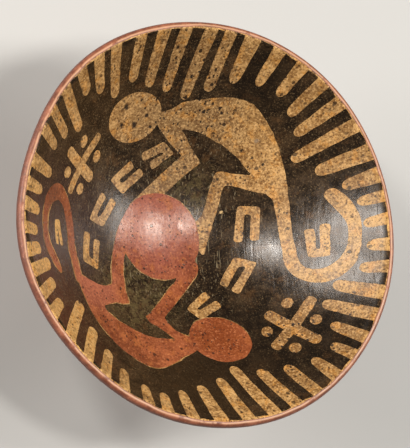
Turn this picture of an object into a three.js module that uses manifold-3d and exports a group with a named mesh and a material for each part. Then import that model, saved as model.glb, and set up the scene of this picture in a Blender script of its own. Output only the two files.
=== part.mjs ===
// A footed pottery bowl, built up from a pressed floor disc and rings of coiled clay,
// then coated inside with cream slip and painted with two monkeys round a red disc.
// Lengths are millimetres, angles are degrees, +Z is up and the foot stands on Z = 0.

import * as THREE from 'three';
import { mergeVertices } from 'three/addons/utils/BufferGeometryUtils.js';
import Module from 'manifold-3d';

const wasm = await Module();
wasm.setup();

// Bowl
const rimDiameter = 190;
const innerDepth = 56.5;
const floorThickness = 7;
const lipThickness = 4;
const floorRim = 4;
const floorLap = 1;
const wallCoils = 5;
const rimCoilWidth = 8;
const jointLean = 1;

// Foot
const footHollow = 24;
const footTopDiameter = 60;
const footBaseDiameter = 76;
const footWall = 7;
const footBaseCoilHeight = 12;
const footEdge = 1.5;
const lutingWidth = 6;
const lutingHeight = 5;

// Coats
const slipThickness = 0.3;
const paintThickness = 0.3;
const coatGap = 0.1;
const bandThickness = 0.5;
const bandWidth = 2.7;
const bandDrop = 6;
const paintGap = 0.3;
const reserve = 0.5;

// Painted figures and strokes
const discRadius = 20.5;
const creamHeadLength = 29.2;
const creamHeadWidth = 20.6;
const creamHeadTilt = 17;
const redHeadLength = 27.8;
const redHeadWidth = 23.4;
const bracketStroke = 4;
const smallBracketStroke = 2.3;
const dotWidth = 4.4;
const dotLength = 5.8;

// A ray's tip: its shoulder and its waist, as distances from the tip's end and as
// shares of the ray's width there.
const rayShoulder = { from: 0.8, share: 0.5 };
const rayWaist = { from: 3, share: 1 };

// The rim's radius in the units of the drawn points
const drawingUnits = 95;

// Facets round the bowl and round a small ellipse
const turns = 48;
const ellipseSteps = 24;
const dotSteps = 8;
const lipSteps = 5;

const mergeDistance = 1e-4;
const miterLimit = 1.2;
const fittingSteps = 50;

const degrees = Math.PI / 180;
const rimRadius = rimDiameter / 2;
const lipRadius = lipThickness / 2;
const floorTop = footHollow + floorThickness;
const lipCentre = {
  r: rimRadius - lipRadius - coatGap - bandThickness,
  z: floorTop + innerDepth - lipRadius,
};
const bandInnerRadius = rimRadius - bandWidth;

// Inner face of the wall: a paraboloid that runs smoothly into the round lip.
function fitInnerFace() {
  let rise = (lipCentre.z - floorTop) / lipCentre.r ** 2;
  let edge = lipCentre.r;
  let slope = 0;
  for (let step = 0; step < fittingSteps; step += 1) {
    slope = Math.atan(2 * rise * edge);
    edge = lipCentre.r - lipRadius * Math.sin(slope);
    rise = (lipCentre.z + lipRadius * Math.cos(slope) - floorTop) / edge ** 2;
  }
  return { rise, edge, slope };
}

const innerFace = fitInnerFace();

function inner(r) {
  return { r, z: floorTop + innerFace.rise * r ** 2 };
}

// Outer face: the inner face pushed out square to itself by the wall's thickness there.
function outer(r) {
  const slope = Math.atan(2 * innerFace.rise * r);
  const share = r / innerFace.edge;
  const wall = floorThickness + (lipThickness - floorThickness) * share;
  const point = inner(r);
  return { r: point.r + wall * Math.sin(slope), z: point.z - wall * Math.cos(slope) };
}

// The outer face at a distance from the axis.
function outerAt(radius) {
  let low = 0;
  let high = radius;
  for (let step = 0; step < fittingSteps; step += 1) {
    const middle = (low + high) / 2;
    if (outer(middle).r < radius) {
      low = middle;
    } else {
      high = middle;
    }
  }
  return { r: radius, z: outer(low).z };
}

function onLip(angle, radius = lipRadius) {
  return {
    r: lipCentre.r + radius * Math.cos(angle),
    z: lipCentre.z + radius * Math.sin(angle),
  };
}

function raised(point, height) {
  return { r: point.r, z: point.z + height };
}

function between(a, b, share) {
  return { r: a.r + (b.r - a.r) * share, z: a.z + (b.z - a.z) * share };
}

// A ring turned from a closed outline, or a disc where the outline ends on the axis.
function turned(outline) {
  let doubleArea = 0;
  outline.forEach((point, index) => {
    const next = outline[(index + 1) % outline.length];
    doubleArea += point.r * next.z - next.r * point.z;
  });
  const points = outline.map((point) => new THREE.Vector2(point.r, point.z));
  if (doubleArea < 0) {
    points.reverse();
  }
  if (points[0].x > 0 || points[points.length - 1].x > 0) {
    points.push(points[0].clone());
  }
  const geometry = new THREE.LatheGeometry(points, turns);
  geometry.rotateX(Math.PI / 2);
  return geometry;
}

function toSolid(geometry) {
  const bare = geometry.clone();
  bare.deleteAttribute('normal');
  bare.deleteAttribute('uv');
  const merged = mergeVertices(bare, mergeDistance);
  const index = merged.index.array;
  const corners = [];
  for (let i = 0; i < index.length; i += 3) {
    const [a, b, c] = index.slice(i, i + 3);
    if (a !== b && b !== c && c !== a) {
      corners.push(a, b, c);
    }
  }
  return new wasm.Manifold(new wasm.Mesh({
    numProp: 3,
    vertProperties: Float32Array.from(merged.attributes.position.array),
    triVerts: Uint32Array.from(corners),
  }));
}

function toGeometry(solid) {
  const mesh = solid.getMesh();
  const geometry = new THREE.BufferGeometry();
  geometry.setAttribute('position', new THREE.BufferAttribute(mesh.vertProperties, 3));
  geometry.setIndex(new THREE.BufferAttribute(mesh.triVerts, 1));
  return geometry;
}

// Painted outlines. Each figure is a list of closed outlines in plan, X right and Y up,
// and its points are drawn in units that the rim's radius sets.
const unit = rimRadius / drawingUnits;

function drawn(points) {
  return points.map((point) => point.map((value) => value * unit));
}

function ellipse([x, y], halfLength, halfWidth, tilt, extra = 0, steps = ellipseSteps) {
  const outline = [];
  for (let step = 0; step < steps; step += 1) {
    const turn = (step / steps) * 2 * Math.PI;
    const along = (halfLength + extra) * Math.cos(turn);
    const across = (halfWidth + extra) * Math.sin(turn);
    const cos = Math.cos(tilt * degrees);
    const sin = Math.sin(tilt * degrees);
    outline.push([x + along * cos - across * sin, y + along * sin + across * cos]);
  }
  return outline;
}

// A brush stroke along points [x, y, width].
function stroke(points, extra = 0) {
  const left = [];
  const right = [];
  points.forEach(([x, y, width], index) => {
    const before = points[Math.max(index - 1, 0)];
    const after = points[Math.min(index + 1, points.length - 1)];
    const length = Math.hypot(after[0] - before[0], after[1] - before[1]);
    const along = [(after[0] - before[0]) / length, (after[1] - before[1]) / length];
    const half = width / 2 + extra;
    const end = index === 0 ? -extra : extra;
    const push = index === 0 || index === points.length - 1 ? end : 0;
    const centre = [x + along[0] * push, y + along[1] * push];
    left.push([centre[0] - along[1] * half, centre[1] + along[0] * half]);
    right.unshift([centre[0] + along[1] * half, centre[1] - along[0] * half]);
  });
  return [...left, ...right];
}

// An outline drawn larger by the same amount all round.
function grown(outline, extra) {
  if (extra === 0) {
    return outline;
  }
  let doubleArea = 0;
  outline.forEach(([x, y], index) => {
    const next = outline[(index + 1) % outline.length];
    doubleArea += x * next[1] - next[0] * y;
  });
  const side = Math.sign(doubleArea);
  return outline.map(([x, y], index) => {
    const before = outline[(index + outline.length - 1) % outline.length];
    const after = outline[(index + 1) % outline.length];
    const normals = [[before, [x, y]], [[x, y], after]].map(([from, to]) => {
      const length = Math.hypot(to[0] - from[0], to[1] - from[1]);
      return [side * (to[1] - from[1]) / length, side * (from[0] - to[0]) / length];
    });
    const sum = [normals[0][0] + normals[1][0], normals[0][1] + normals[1][1]];
    const reach = extra * Math.min(2 / (sum[0] ** 2 + sum[1] ** 2), miterLimit);
    return [x + sum[0] * reach, y + sum[1] * reach];
  });
}

const [discCentre, creamHeadCentre, redHeadCentre] = drawn([
  [-2.8, 3.2], [-22.7, 54.7], [19.3, -47.8],
]);

const creamBody = drawn([
  [-9, 58.2], [-3.6, 59.9], [1.2, 63], [6.9, 64.1], [20, 65.3], [29.9, 64], [34.2, 62.2],
  [42.2, 54.3], [49.6, 42.9], [53.9, 31], [56.2, 19.7],
  [51, 16.8], [49.6, 20.2], [46.6, 23.1], [38.5, 25.3], [30.6, 27.5], [28, 25.8],
  [27.3, 20.4], [24.6, 8.3], [21.6, -4], [20.8, -5.2],
  [16, 0], [16, 10], [19.9, 14.8], [22.1, 26.3], [24, 33.2], [27, 34],
  [30.6, 32.9], [39.7, 31.8],
  [33.2, 39.1], [26.5, 44.4], [18.5, 48.4], [10.5, 51.4], [3.9, 52],
  [10.6, 44.4], [16, 38.6], [16.1, 37.4], [5.8, 28.6], [-0.9, 22.4],
  [-9, 17], [-16.4, 16.4], [-17.6, 17.8], [-6, 28.9], [6.6, 40.7], [-8.4, 52.5], [-12, 56],
]);

const creamTail = drawn([
  [53.1, 20, 6], [54.6, 10.2, 5.4], [56, -2.9, 5.2], [57, -11, 5.8], [60, -16.1, 5.9],
  [65.7, -18.2, 6.8], [71.6, -16.8, 6.5], [76.8, -12.2, 6], [79.6, -5.5, 5], [80.5, 1.6, 4.6],
  [79.6, 8.1, 5.3], [77.1, 13.6, 5.9], [71.9, 20.3, 5.6],
]);

const redBody = drawn([
  [6.3, -54], [-0.7, -57.1], [-8.1, -61.1], [-12.9, -63.4], [-18.7, -64.4], [-27.6, -61.7],
  [-35.4, -56.5], [-42, -48.9], [-47.6, -40.2], [-50.2, -32], [-53.8, -18.7],
  [-50.7, -19.8], [-43.1, -21.9], [-35.2, -23.3], [-30.7, -22], [-29.1, -12.2],
  [-26.7, -2.4], [-23.7, 7],
  [-18, 9], [-17, -2], [-20.6, -5.8], [-21.8, -9.7], [-23.1, -24], [-22.3, -30.7],
  [-29.9, -31], [-39, -33.8],
  [-38, -36.2], [-31.9, -40.6], [-23.1, -44.6], [-12.6, -47.8], [-1.8, -48.1],
  [-9.1, -42], [-14.9, -36.8], [-12.2, -35.4], [-3, -26.6], [5.6, -17.6],
  [6, -11], [14, -6], [18.3, -8.6], [17.4, -12.3], [13.4, -17.8], [6.4, -25.8],
  [-1.9, -34.4], [-4.6, -36.9], [-3.5, -39.4], [-0.7, -43], [4.6, -46], [10, -48],
]);

const redTail = drawn([
  [-52.2, -23, 4.4], [-53.2, -13.7, 4.6], [-55, -0.8, 4.5], [-56.4, 5.2, 4.9],
  [-58.8, 11.2, 5], [-62.8, 15.2, 6.4], [-66.4, 16, 7.6], [-71.7, 11.9, 5.8],
  [-74.4, 4.2, 3.9], [-74.3, -1.5, 3.7], [-73.6, -7.3, 4.2], [-70.7, -12.2, 4.6],
  [-67.5, -16.6, 4], [-64.6, -21, 1.8],
]);

// Each bracket is two prongs, [base x, base y, tip x, tip y], joined across their bases.
const brackets = [
  [[-3.7, 44.1, -13.9, 38.8], [0.3, 41.6, -8.7, 35.5]],
  [[-28, 27.4, -18.4, 35.5], [-22.7, 24.1, -12.7, 33]],
  [[-40.3, 8.9, -33.8, 20.6], [-34.3, 7.6, -27.4, 18.7]],
  [[-45.2, -11.4, -43.9, 1.7], [-39.3, -13.6, -37.3, -1.1]],
  [[36.9, 16.2, 35.9, 1], [43.2, 15.6, 42.8, 1.3]],
  [[34.5, -8.4, 27.3, -20.4], [41, -10.2, 32, -23.7]],
  [[10.2, -31.9, 19.7, -24.3], [13.9, -35, 24, -29]],
  [[64.8, -7, 64.2, 3.6], [69.6, -7.2, 70, 6.1]],
].map(drawn);
const smallBracket = drawn([[-65.9, 2.4, -65, -8], [-64, 2.8, -61.7, -8]]);

// Each cross is two arms through points [x, y, width], with a dot in each corner.
const crosses = [
  {
    arms: [
      [[-59.6, 34.9, 5.6], [-43.7, 26.9, 5.6]],
      [[-41.5, 44.8, 3.4], [-50, 31.8, 3.6], [-57.1, 18, 3.6]],
    ],
    dots: [[-50.8, 40.9], [-40.9, 36.1], [-59.8, 26], [-49.9, 20.5]],
    tilt: 60,
  },
  {
    arms: [
      [[43.9, -36, 5.5], [58.9, -50, 5.5]],
      [[62, -29.2, 4.2], [52.9, -41.4, 4.2], [42, -52.7, 4.2]],
    ],
    dots: [[52.3, -30.4], [61.2, -39.8], [41.1, -44.4], [49.6, -53.4]],
    tilt: 50,
  },
];

// Each ray is [bearing at the rim, bearing at its tip, distance of its tip from the axis,
// width near its tip, width at the rim].
const rays = [
  [87.5, 89, 64, 5.5, 6.8], [81.5, 80, 68.5, 5.6, 6.1], [74.5, 72.5, 74, 5, 8.2],
  [65.5, 64, 77, 4.5, 6.8], [57, 56, 78, 5, 6.7], [49, 48.5, 75.5, 5.2, 6.7],
  [41, 41.5, 72.5, 4.6, 7.2], [33, 34, 66.5, 5, 7], [24, 25.5, 72, 5.6, 8.1],
  [17, 17, 79, 5, 7.8], [10.5, 10.5, 82.5, 4.6, 5.9], [4, 3, 83.5, 5, 6],
  [-4, -4, 84, 5, 6.8], [-10.5, -11.5, 82, 5, 6.3], [-19, -18, 74, 5.4, 7.3],
  [-26, -26, 72.5, 5.2, 7], [-34, -33, 78.5, 5, 6.6], [-40.5, -40, 82.5, 4.8, 6.3],
  [-49.5, -47.5, 80.5, 5, 7], [-57.5, -55.5, 75.5, 5.5, 6], [-65, -64, 71, 5.5, 6.7],
  [-72.5, -72, 65, 5.2, 6.8], [-81, -80.5, 69, 5.1, 7], [-89.5, -90, 72.5, 5, 7.8],
  [-98.5, -98.5, 76.5, 4.7, 6.8], [-106.5, -106, 81, 4.8, 6.8], [-112.5, -113, 81, 4.6, 6.6],
  [-121, -121, 78.5, 5, 6.4], [-128, -128, 73.5, 5, 6.3], [-134.5, -137, 69.5, 6, 6.3],
  [-142, -147.5, 64.5, 6, 7], [-150.5, -152.5, 78.5, 5.2, 7], [-156.5, -159.5, 76.5, 5.6, 6],
  [-163.5, -166, 74.5, 5.7, 6.2], [-169.5, -171, 80, 5.5, 6.5], [-176, -176.5, 81, 4.8, 5.7],
  [177, 177, 79.5, 5, 6.7], [171.5, 170, 79.5, 5, 6.8], [164.5, 162.5, 75.5, 5.2, 7],
  [154.5, 154, 78.5, 4.8, 6.5], [148, 147.5, 75.5, 5.3, 5.6], [140.5, 140.5, 70.5, 5.6, 7.2],
  [133, 132.5, 80.5, 5.7, 6.6], [125.5, 127, 76.5, 5.2, 6.6], [119, 121, 71, 4.9, 6.4],
  [110, 113, 74, 5.3, 6], [102.5, 106, 70, 5, 6.9], [95.5, 98, 67, 5, 6.6],
];

function rayOutline([rimBearing, tipBearing, tipDistance, tipWidth, rimWidth]) {
  const rim = new THREE.Vector2(rimRadius, 0);
  rim.rotateAround(new THREE.Vector2(), rimBearing * degrees);
  const tip = new THREE.Vector2(tipDistance * unit, 0);
  tip.rotateAround(new THREE.Vector2(), tipBearing * degrees);
  const along = rim.clone().sub(tip).normalize();
  const across = new THREE.Vector2(-along.y, along.x);
  const shoulder = tip.clone().addScaledVector(along, rayShoulder.from * unit);
  const waist = tip.clone().addScaledVector(along, rayWaist.from * unit);
  const corner = (from, width) => (
    from.clone().addScaledVector(across, (width * unit) / 2).toArray()
  );
  return [
    corner(rim, rimWidth),
    corner(waist, tipWidth * rayWaist.share),
    corner(shoulder, tipWidth * rayShoulder.share),
    tip.toArray(),
    corner(shoulder, -tipWidth * rayShoulder.share),
    corner(waist, -tipWidth * rayWaist.share),
    corner(rim, -rimWidth),
  ];
}

function bracketOutlines([left, right], width) {
  const [ax, ay] = left;
  const [bx, by] = right;
  const span = Math.hypot(bx - ax, by - ay);
  const overX = ((bx - ax) / span) * (width / 2);
  const overY = ((by - ay) / span) * (width / 2);
  const prongs = [left, right].map(([x, y, tipX, tipY]) => (
    stroke([[x, y, width], [tipX, tipY, width]])
  ));
  const base = stroke([[ax - overX, ay - overY, width], [bx + overX, by + overY, width]]);
  return [...prongs, base];
}

function crossOutlines({ arms, dots, tilt }) {
  const spots = drawn(dots).map((centre) => (
    ellipse(centre, dotLength / 2, dotWidth / 2, tilt, 0, dotSteps)
  ));
  return [...arms.map((arm) => stroke(drawn(arm))), ...spots];
}

function discOutline(extra) {
  return ellipse(discCentre, discRadius, discRadius, 0, extra);
}

function redMonkeyOutlines(extra) {
  return [
    grown(redBody, extra),
    ellipse(redHeadCentre, redHeadLength / 2, redHeadWidth / 2, 0, extra),
    stroke(redTail, extra),
  ];
}

const creamMonkeyOutlines = [
  creamBody,
  ellipse(creamHeadCentre, creamHeadLength / 2, creamHeadWidth / 2, creamHeadTilt),
  stroke(creamTail),
];

const patternOutlines = [
  ...rays.map((ray) => rayOutline(ray)),
  ...brackets.flatMap((bracket) => bracketOutlines(bracket, bracketStroke)),
  ...bracketOutlines(smallBracket, smallBracketStroke),
  ...crosses.flatMap((cross) => crossOutlines(cross)),
];

// Outlines drawn under the figures, round the dark ground that each monkey's limbs,
// belly and the disc close in.
const upperGapPatch = drawn([
  [1, 52.5], [10.5, 39.5], [-6, 24.5], [-6, 18], [0, 3], [15, 3], [21.5, 9], [25, 30.5],
  [44, 31.5], [41, 39], [33, 46], [22, 53], [8, 57], [1, 56],
]);
const lowerGapPatch = drawn([
  [2, -50], [-6.5, -41], [-10, -36.5], [-6, -32], [5, -20.5], [8, -14], [0, 0], [-16, 2],
  [-24.5, -2], [-26, -10], [-26.5, -25], [-34, -28], [-43, -30], [-42, -39], [-32, -48],
  [-18, -54], [-4, -53.5],
]);

// A prism standing through the bowl over each outline, to cut the coats with.
function prism(outline) {
  const corners = outline.map(([x, y]) => new THREE.Vector2(x, y));
  return toSolid(new THREE.ExtrudeGeometry(new THREE.Shape(corners), {
    depth: floorTop + innerDepth + floorThickness,
    bevelEnabled: false,
  }));
}

function prisms(outlines) {
  return outlines.map((outline) => prism(outline)).reduce((all, next) => all.add(next));
}

// Clay. Neighbouring pieces share their corner points, so that they meet face to face.
const footTop = footTopDiameter / 2;
const footBase = footBaseDiameter / 2;
const floorInner = footTop + floorRim;
const floorOuter = footTop + lutingWidth + floorLap;
const rimCoilStart = innerFace.edge - rimCoilWidth;
const coilWidth = (rimCoilStart - floorInner) / wallCoils;

function innerJoint(index) {
  return inner(floorInner + index * coilWidth);
}

function outerJoint(index) {
  return index === 0 ? outerAt(floorOuter) : outer(innerJoint(index).r + jointLean);
}

const lipTop = Math.PI / 2;
const lipInside = lipTop + innerFace.slope;
const lipOutside = innerFace.slope - lipTop;
const bandEdge = Math.acos((bandInnerRadius - lipCentre.r) / lipRadius);
const coatEdge = bandEdge + paintGap / lipRadius;

function lipArc(from, to, steps, radius) {
  const arc = [];
  for (let step = 0; step <= steps; step += 1) {
    arc.push(onLip(from + ((to - from) * step) / steps, radius));
  }
  return arc;
}

const innerStations = [inner(0), inner(floorInner / 2)];
for (let index = 0; index <= wallCoils; index += 1) {
  innerStations.push(innerJoint(index));
}
const rimCoilMiddle = inner(rimCoilStart + rimCoilWidth / 2);
innerStations.push(rimCoilMiddle, onLip(lipInside), onLip(coatEdge));

const floorOutline = [
  ...innerStations.slice(0, 3),
  outerJoint(0),
  outerAt(footTop),
  outerAt(footTop - footWall),
  outerAt(0),
];

function wallCoilOutline(index) {
  return [innerJoint(index), innerJoint(index + 1), outerJoint(index + 1), outerJoint(index)];
}

const rimCoilOutline = [
  innerJoint(wallCoils),
  rimCoilMiddle,
  onLip(lipInside),
  ...lipArc(coatEdge, lipOutside, lipSteps, lipRadius),
  outer(rimCoilMiddle.r),
  outerJoint(wallCoils),
];

// Foot: a flared ring in two coils, luted to the floor disc with a third.
const footTopInside = outerAt(footTop - footWall);
const footTopOutside = outerAt(footTop);
const footBaseInside = { r: footBase - footWall, z: 0 };
const footOutsideFoot = { r: footBase, z: footEdge };
const jointShare = (footBaseCoilHeight - footEdge) / (footTopOutside.z - footEdge);
const footJointOutside = between(footOutsideFoot, footTopOutside, jointShare);
const insideShare = footBaseCoilHeight / footTopInside.z;
const footMiddleInside = between(footBaseInside, footTopInside, insideShare);
const lutingShare = lutingHeight / (footTopOutside.z - footBaseCoilHeight);
const lutingFoot = between(footTopOutside, footJointOutside, lutingShare);
const lutingEdge = outerAt(footTop + lutingWidth);

const footBaseOutline = [
  { r: footBase - footWall, z: footEdge },
  { r: footBase - footWall + footEdge, z: 0 },
  { r: footBase - footEdge, z: 0 },
  footOutsideFoot,
  footJointOutside,
  footMiddleInside,
];
const footUpperOutline = [
  footMiddleInside,
  footJointOutside,
  lutingFoot,
  footTopOutside,
  footTopInside,
];
const lutingHollow = {
  r: (lutingFoot.r + lutingEdge.r) / 2 - footEdge / 2,
  z: (lutingFoot.z + lutingEdge.z) / 2 + footEdge / 2,
};
const lutingOutline = [footTopOutside, lutingFoot, lutingHollow, lutingEdge];

// Coats: the slip lies on the clay, and the paint on the slip.
function coatOutline(low, high) {
  const under = innerStations.map((point) => raised(point, low));
  const over = innerStations.map((point) => raised(point, high));
  return [...under, ...over.reverse()];
}

const paintLow = slipThickness + coatGap;
const paintCoat = toSolid(turned(coatOutline(paintLow, paintLow + paintThickness)));

// Red band over the lip, from the painted face across the top and down the outside.
function bandSide(offset) {
  const arc = lipArc(bandEdge, lipOutside, lipSteps, lipRadius + offset);
  const last = arc[arc.length - 1];
  const down = outer(rimCoilMiddle.r);
  const top = onLip(lipOutside);
  const length = Math.hypot(down.r - top.r, down.z - top.z);
  arc.push({
    r: last.r + ((down.r - top.r) / length) * bandDrop,
    z: last.z + ((down.z - top.z) / length) * bandDrop,
  });
  return arc;
}

const bandOutline = [...bandSide(coatGap), ...bandSide(coatGap + bandThickness).reverse()];

const discReserve = prism(discOutline(reserve));
const redMonkey = prisms(redMonkeyOutlines(0));
const redReserve = prisms(redMonkeyOutlines(reserve));
const creamMonkey = prisms(creamMonkeyOutlines);
const figures = prisms(patternOutlines).add(creamMonkey).add(redReserve).add(discReserve);
const upperGap = prism(upperGapPatch);
const lowerGap = prism(lowerGapPatch);

const darkField = paintCoat.subtract(figures.add(upperGap).add(lowerGap));
const darkUpperGap = paintCoat.intersect(upperGap).subtract(creamMonkey.add(discReserve));
const darkLowerGap = paintCoat.intersect(lowerGap).subtract(redReserve.add(discReserve));
const redDisc = paintCoat.intersect(prism(discOutline(0)));
const redMonkeyCoat = paintCoat.intersect(redMonkey).subtract(prism(discOutline(paintGap)));

// Colours of the fired clay, slip and paints.
function finish(color, roughness) {
  return new THREE.MeshStandardMaterial({ color, roughness, metalness: 0 });
}

const clay = () => finish(0x8f5a40, 0.6);
const cream = () => finish(0xb88a55, 0.45);
const red = () => finish(0xa0503a, 0.4);
const dark = () => finish(0x33281f, 0.4);

const bowl = new THREE.Group();

function addPiece(name, geometry, material) {
  const piece = new THREE.Mesh(geometry, material);
  piece.name = name;
  bowl.add(piece);
}

addPiece('floor_disc', turned(floorOutline), clay());
for (let index = 0; index < wallCoils; index += 1) {
  addPiece(`wall_coil_${index + 1}`, turned(wallCoilOutline(index)), clay());
}
addPiece('rim_coil', turned(rimCoilOutline), clay());
addPiece('foot_upper_coil', turned(footUpperOutline), clay());
addPiece('foot_base_coil', turned(footBaseOutline), clay());
addPiece('foot_luting_coil', turned(lutingOutline), clay());
addPiece('cream_slip_coat', turned(coatOutline(0, slipThickness)), cream());
addPiece('red_rim_band', turned(bandOutline), red());
addPiece('red_disc', toGeometry(redDisc), red());
addPiece('red_monkey', toGeometry(redMonkeyCoat), red());
addPiece('dark_coat_field', toGeometry(darkField), dark());
addPiece('dark_coat_upper_gap', toGeometry(darkUpperGap), dark());
addPiece('dark_coat_lower_gap', toGeometry(darkLowerGap), dark());

export default bowl;
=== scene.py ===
import math

import bpy
import numpy as np
from mathutils import Matrix, Vector, noise
from mathutils.geometry import delaunay_2d_cdt


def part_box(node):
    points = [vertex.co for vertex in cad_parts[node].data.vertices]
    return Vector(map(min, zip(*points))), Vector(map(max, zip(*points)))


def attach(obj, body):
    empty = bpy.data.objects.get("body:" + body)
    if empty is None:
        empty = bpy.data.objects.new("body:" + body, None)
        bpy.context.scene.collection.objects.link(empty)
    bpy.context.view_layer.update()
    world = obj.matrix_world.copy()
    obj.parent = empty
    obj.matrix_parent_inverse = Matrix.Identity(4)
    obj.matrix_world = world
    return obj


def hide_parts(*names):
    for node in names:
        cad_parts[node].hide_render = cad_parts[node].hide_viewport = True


# The footed bowl's looks: burnished clay coils, a cream slip, red and dark paint.
# Shapes are worked out in millimetres in the frame's axes, and written in metres.
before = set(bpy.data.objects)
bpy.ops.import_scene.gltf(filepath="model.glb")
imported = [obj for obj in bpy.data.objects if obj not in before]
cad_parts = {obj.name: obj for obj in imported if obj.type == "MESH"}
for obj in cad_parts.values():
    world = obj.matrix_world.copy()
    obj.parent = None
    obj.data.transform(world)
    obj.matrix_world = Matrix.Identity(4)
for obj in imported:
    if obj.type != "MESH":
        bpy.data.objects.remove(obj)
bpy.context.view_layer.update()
MM = 0.001
tiny = 1e-9


def box_mm(node):
    low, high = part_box(node)
    return low / MM, high / MM


# Sizes of the bowl, from the frame where a box gives them
rim_radius = box_mm("red_rim_band")[1].x
rim_height = box_mm("red_rim_band")[1].z
floor_top = box_mm("cream_slip_coat")[0].z
foot_radius = box_mm("foot_base_coil")[1].x
foot_joint_height = box_mm("foot_base_coil")[1].z
foot_neck = box_mm("foot_luting_coil")[1].x
floor_disc_radius = box_mm("floor_disc")[1].x
floor_thickness = 7
lip_thickness = 4
foot_wall = 7
foot_edge = 1.5
luting_width = 6
luting_height = 5
rim_coil_width = 8
joint_lap = 1
wall_coils = 5
band_width = 2.7
band_drop = 6
band_skin = 0.6
slip_skin = 0.3
paint_skin = 0.1

# How finely the round pieces and the painted face are divided
turns = 240
edge_points = 640
face_spacing = 2.3
outline_spacing = 0.7
fit_rounds = 40
inside_steps = 8
outside_steps = 12
floor_steps = 14
lip_steps = 14
rim_outside_steps = 10
foot_base_steps = 10
foot_upper_steps = 8
foot_round_steps = 5
luting_steps = 10
luting_floor_steps = 5
luting_foot_steps = 4

lip_radius = lip_thickness / 2
lip_r = rim_radius - lip_radius - band_skin
lip_z = rim_height - lip_radius - band_skin
band_inner = rim_radius - band_width
foot_neck_radius = foot_neck - luting_width


def fit_inner_face():
    """The paraboloid inside the bowl that runs smoothly into the round lip."""
    rise = (lip_z - floor_top) / lip_r**2
    edge = lip_r
    slope = 0
    for _ in range(fit_rounds):
        slope = math.atan(2 * rise * edge)
        edge = lip_r - lip_radius * math.sin(slope)
        rise = (lip_z + lip_radius * math.cos(slope) - floor_top) / edge**2
    return rise, edge, slope


rise, inner_edge, lip_slope = fit_inner_face()


def inner(r):
    return r, floor_top + rise * r * r


def outer(r):
    slope = math.atan(2 * rise * r)
    wall = floor_thickness + (lip_thickness - floor_thickness) * r / inner_edge
    return r + wall * math.sin(slope), inner(r)[1] - wall * math.cos(slope)


def outer_station(radius):
    """Where along the inner face the wall's outer face stands at a given radius."""
    low, high = 0, radius
    for _ in range(fit_rounds):
        middle = (low + high) / 2
        low, high = (middle, high) if outer(middle)[0] < radius else (low, middle)
    return low


def on_lip(angle, radius=lip_radius):
    return lip_r + radius * math.cos(angle), lip_z + radius * math.sin(angle)


def run(face, start, end, steps):
    """Points at even steps along a face."""
    return [face(start + (end - start) * i / steps) for i in range(steps + 1)]


def between(a, b, share):
    return a[0] + (b[0] - a[0]) * share, a[1] + (b[1] - a[1]) * share


# The hand of the potter: the bowl is a little out of round, and its height sways.
# Each line of rim_waves is [waves round the rim, size in millimetres, bearing of a crest in
# degrees], and each line of any waves below it is [length, size] of a noise in millimetres.
rim_waves = [[3, 0.44, -52], [4, 0.25, 24], [5, 0.40, -21], [6, 0.23, 6], [7, 0.16, -15]]
sway_waves = [[24, 0.10], [8, 0.03]]
seed_steps = (17.3, 5.1, 9.7)


def round_waves(bearing, waves):
    """The sum of waves round an axis, each [count, size, bearing of a crest]."""
    return sum(size * np.cos(count * (bearing - math.radians(crest))) for count, size, crest in waves)


def noise_waves(points, waves, seed):
    """The sum of noises at some points, each [length, size]."""
    shift = Vector([seed * step for step in seed_steps])
    return sum(
        size * np.array([noise.noise(Vector(p) / length + shift) for p in points])
        for length, size in waves
    )


def shaped(points):
    """Points of the true bowl, moved to where the hand-made one has them."""
    points = np.array(points, float)
    radius = np.maximum(np.hypot(points[:, 0], points[:, 1]), tiny)
    bearing = np.arctan2(points[:, 1], points[:, 0])
    grow = round_waves(bearing, rim_waves) * (radius / rim_radius) ** 2
    above_foot = np.clip((points[:, 2] - foot_joint_height) / foot_joint_height, 0, 1)
    points[:, 2] += above_foot * noise_waves(points * [1, 1, 0], sway_waves, 0)
    points[:, :2] *= ((radius + grow) / radius)[:, None]
    return points


sharp_angle = math.radians(35)


def placed(name, data):
    """A new object in the scene."""
    thing = bpy.data.objects.new(name, data)
    bpy.context.scene.collection.objects.link(thing)
    return thing


def new_piece(node, finish, points, faces, slot):
    """A piece that takes the place of a CAD node, in the material named like its slot."""
    name = f"{node}_{finish}"
    mesh = bpy.data.meshes.new(name)
    mesh.from_pydata([Vector(p) * MM for p in points], [], faces)
    mesh.validate()
    mesh.shade_smooth()
    mesh.set_sharp_from_angle(angle=sharp_angle)
    mesh.materials.append(materials[slot])
    piece = placed(name, mesh)
    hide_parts(node)
    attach(piece, "root")
    return piece


def full_turn(steps):
    return np.linspace(0, 2 * math.pi, steps, endpoint=False)


def polar(distance, bearing):
    return np.stack([distance * np.cos(bearing), distance * np.sin(bearing)], axis=-1)


def ring(profile):
    """Points and faces of a closed ring, or of a disc where the profile ends on the axis.

    profile(bearing) gives the same number of points [radius, height] at every bearing.
    """
    bearings = full_turn(turns)
    radius, height = np.moveaxis([profile(bearing) for bearing in bearings], -1, 0)
    points = np.dstack([polar(radius, bearings[:, None]), height]).reshape(-1, 3)
    on_axis = radius[0] == 0
    here = np.arange(len(points)).reshape(radius.shape)
    here[:, on_axis] = here[0, on_axis]
    used, here = np.unique(here, return_inverse=True)
    here = here.reshape(radius.shape)
    there = np.roll(here, -1, axis=0)
    corners = np.dstack([here, there, np.roll(there, -1, axis=1), np.roll(here, -1, axis=1)])
    if on_axis.any():
        corners = corners[:, :-1]
    faces = [list(dict.fromkeys(face)) for face in corners.reshape(-1, 4).tolist()]
    return points[used], faces


# Clay pieces, each a full ring with the faint swell that a smoothed coil keeps
coil_swell = 0.22
swell_bluntness = 0.7
floor_past_foot = 4
floor_inner = foot_neck_radius + floor_past_foot
rim_coil_start = inner_edge - rim_coil_width
coil_width = (rim_coil_start - floor_inner) / wall_coils


def joint_inside(index):
    return floor_inner + index * coil_width


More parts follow.
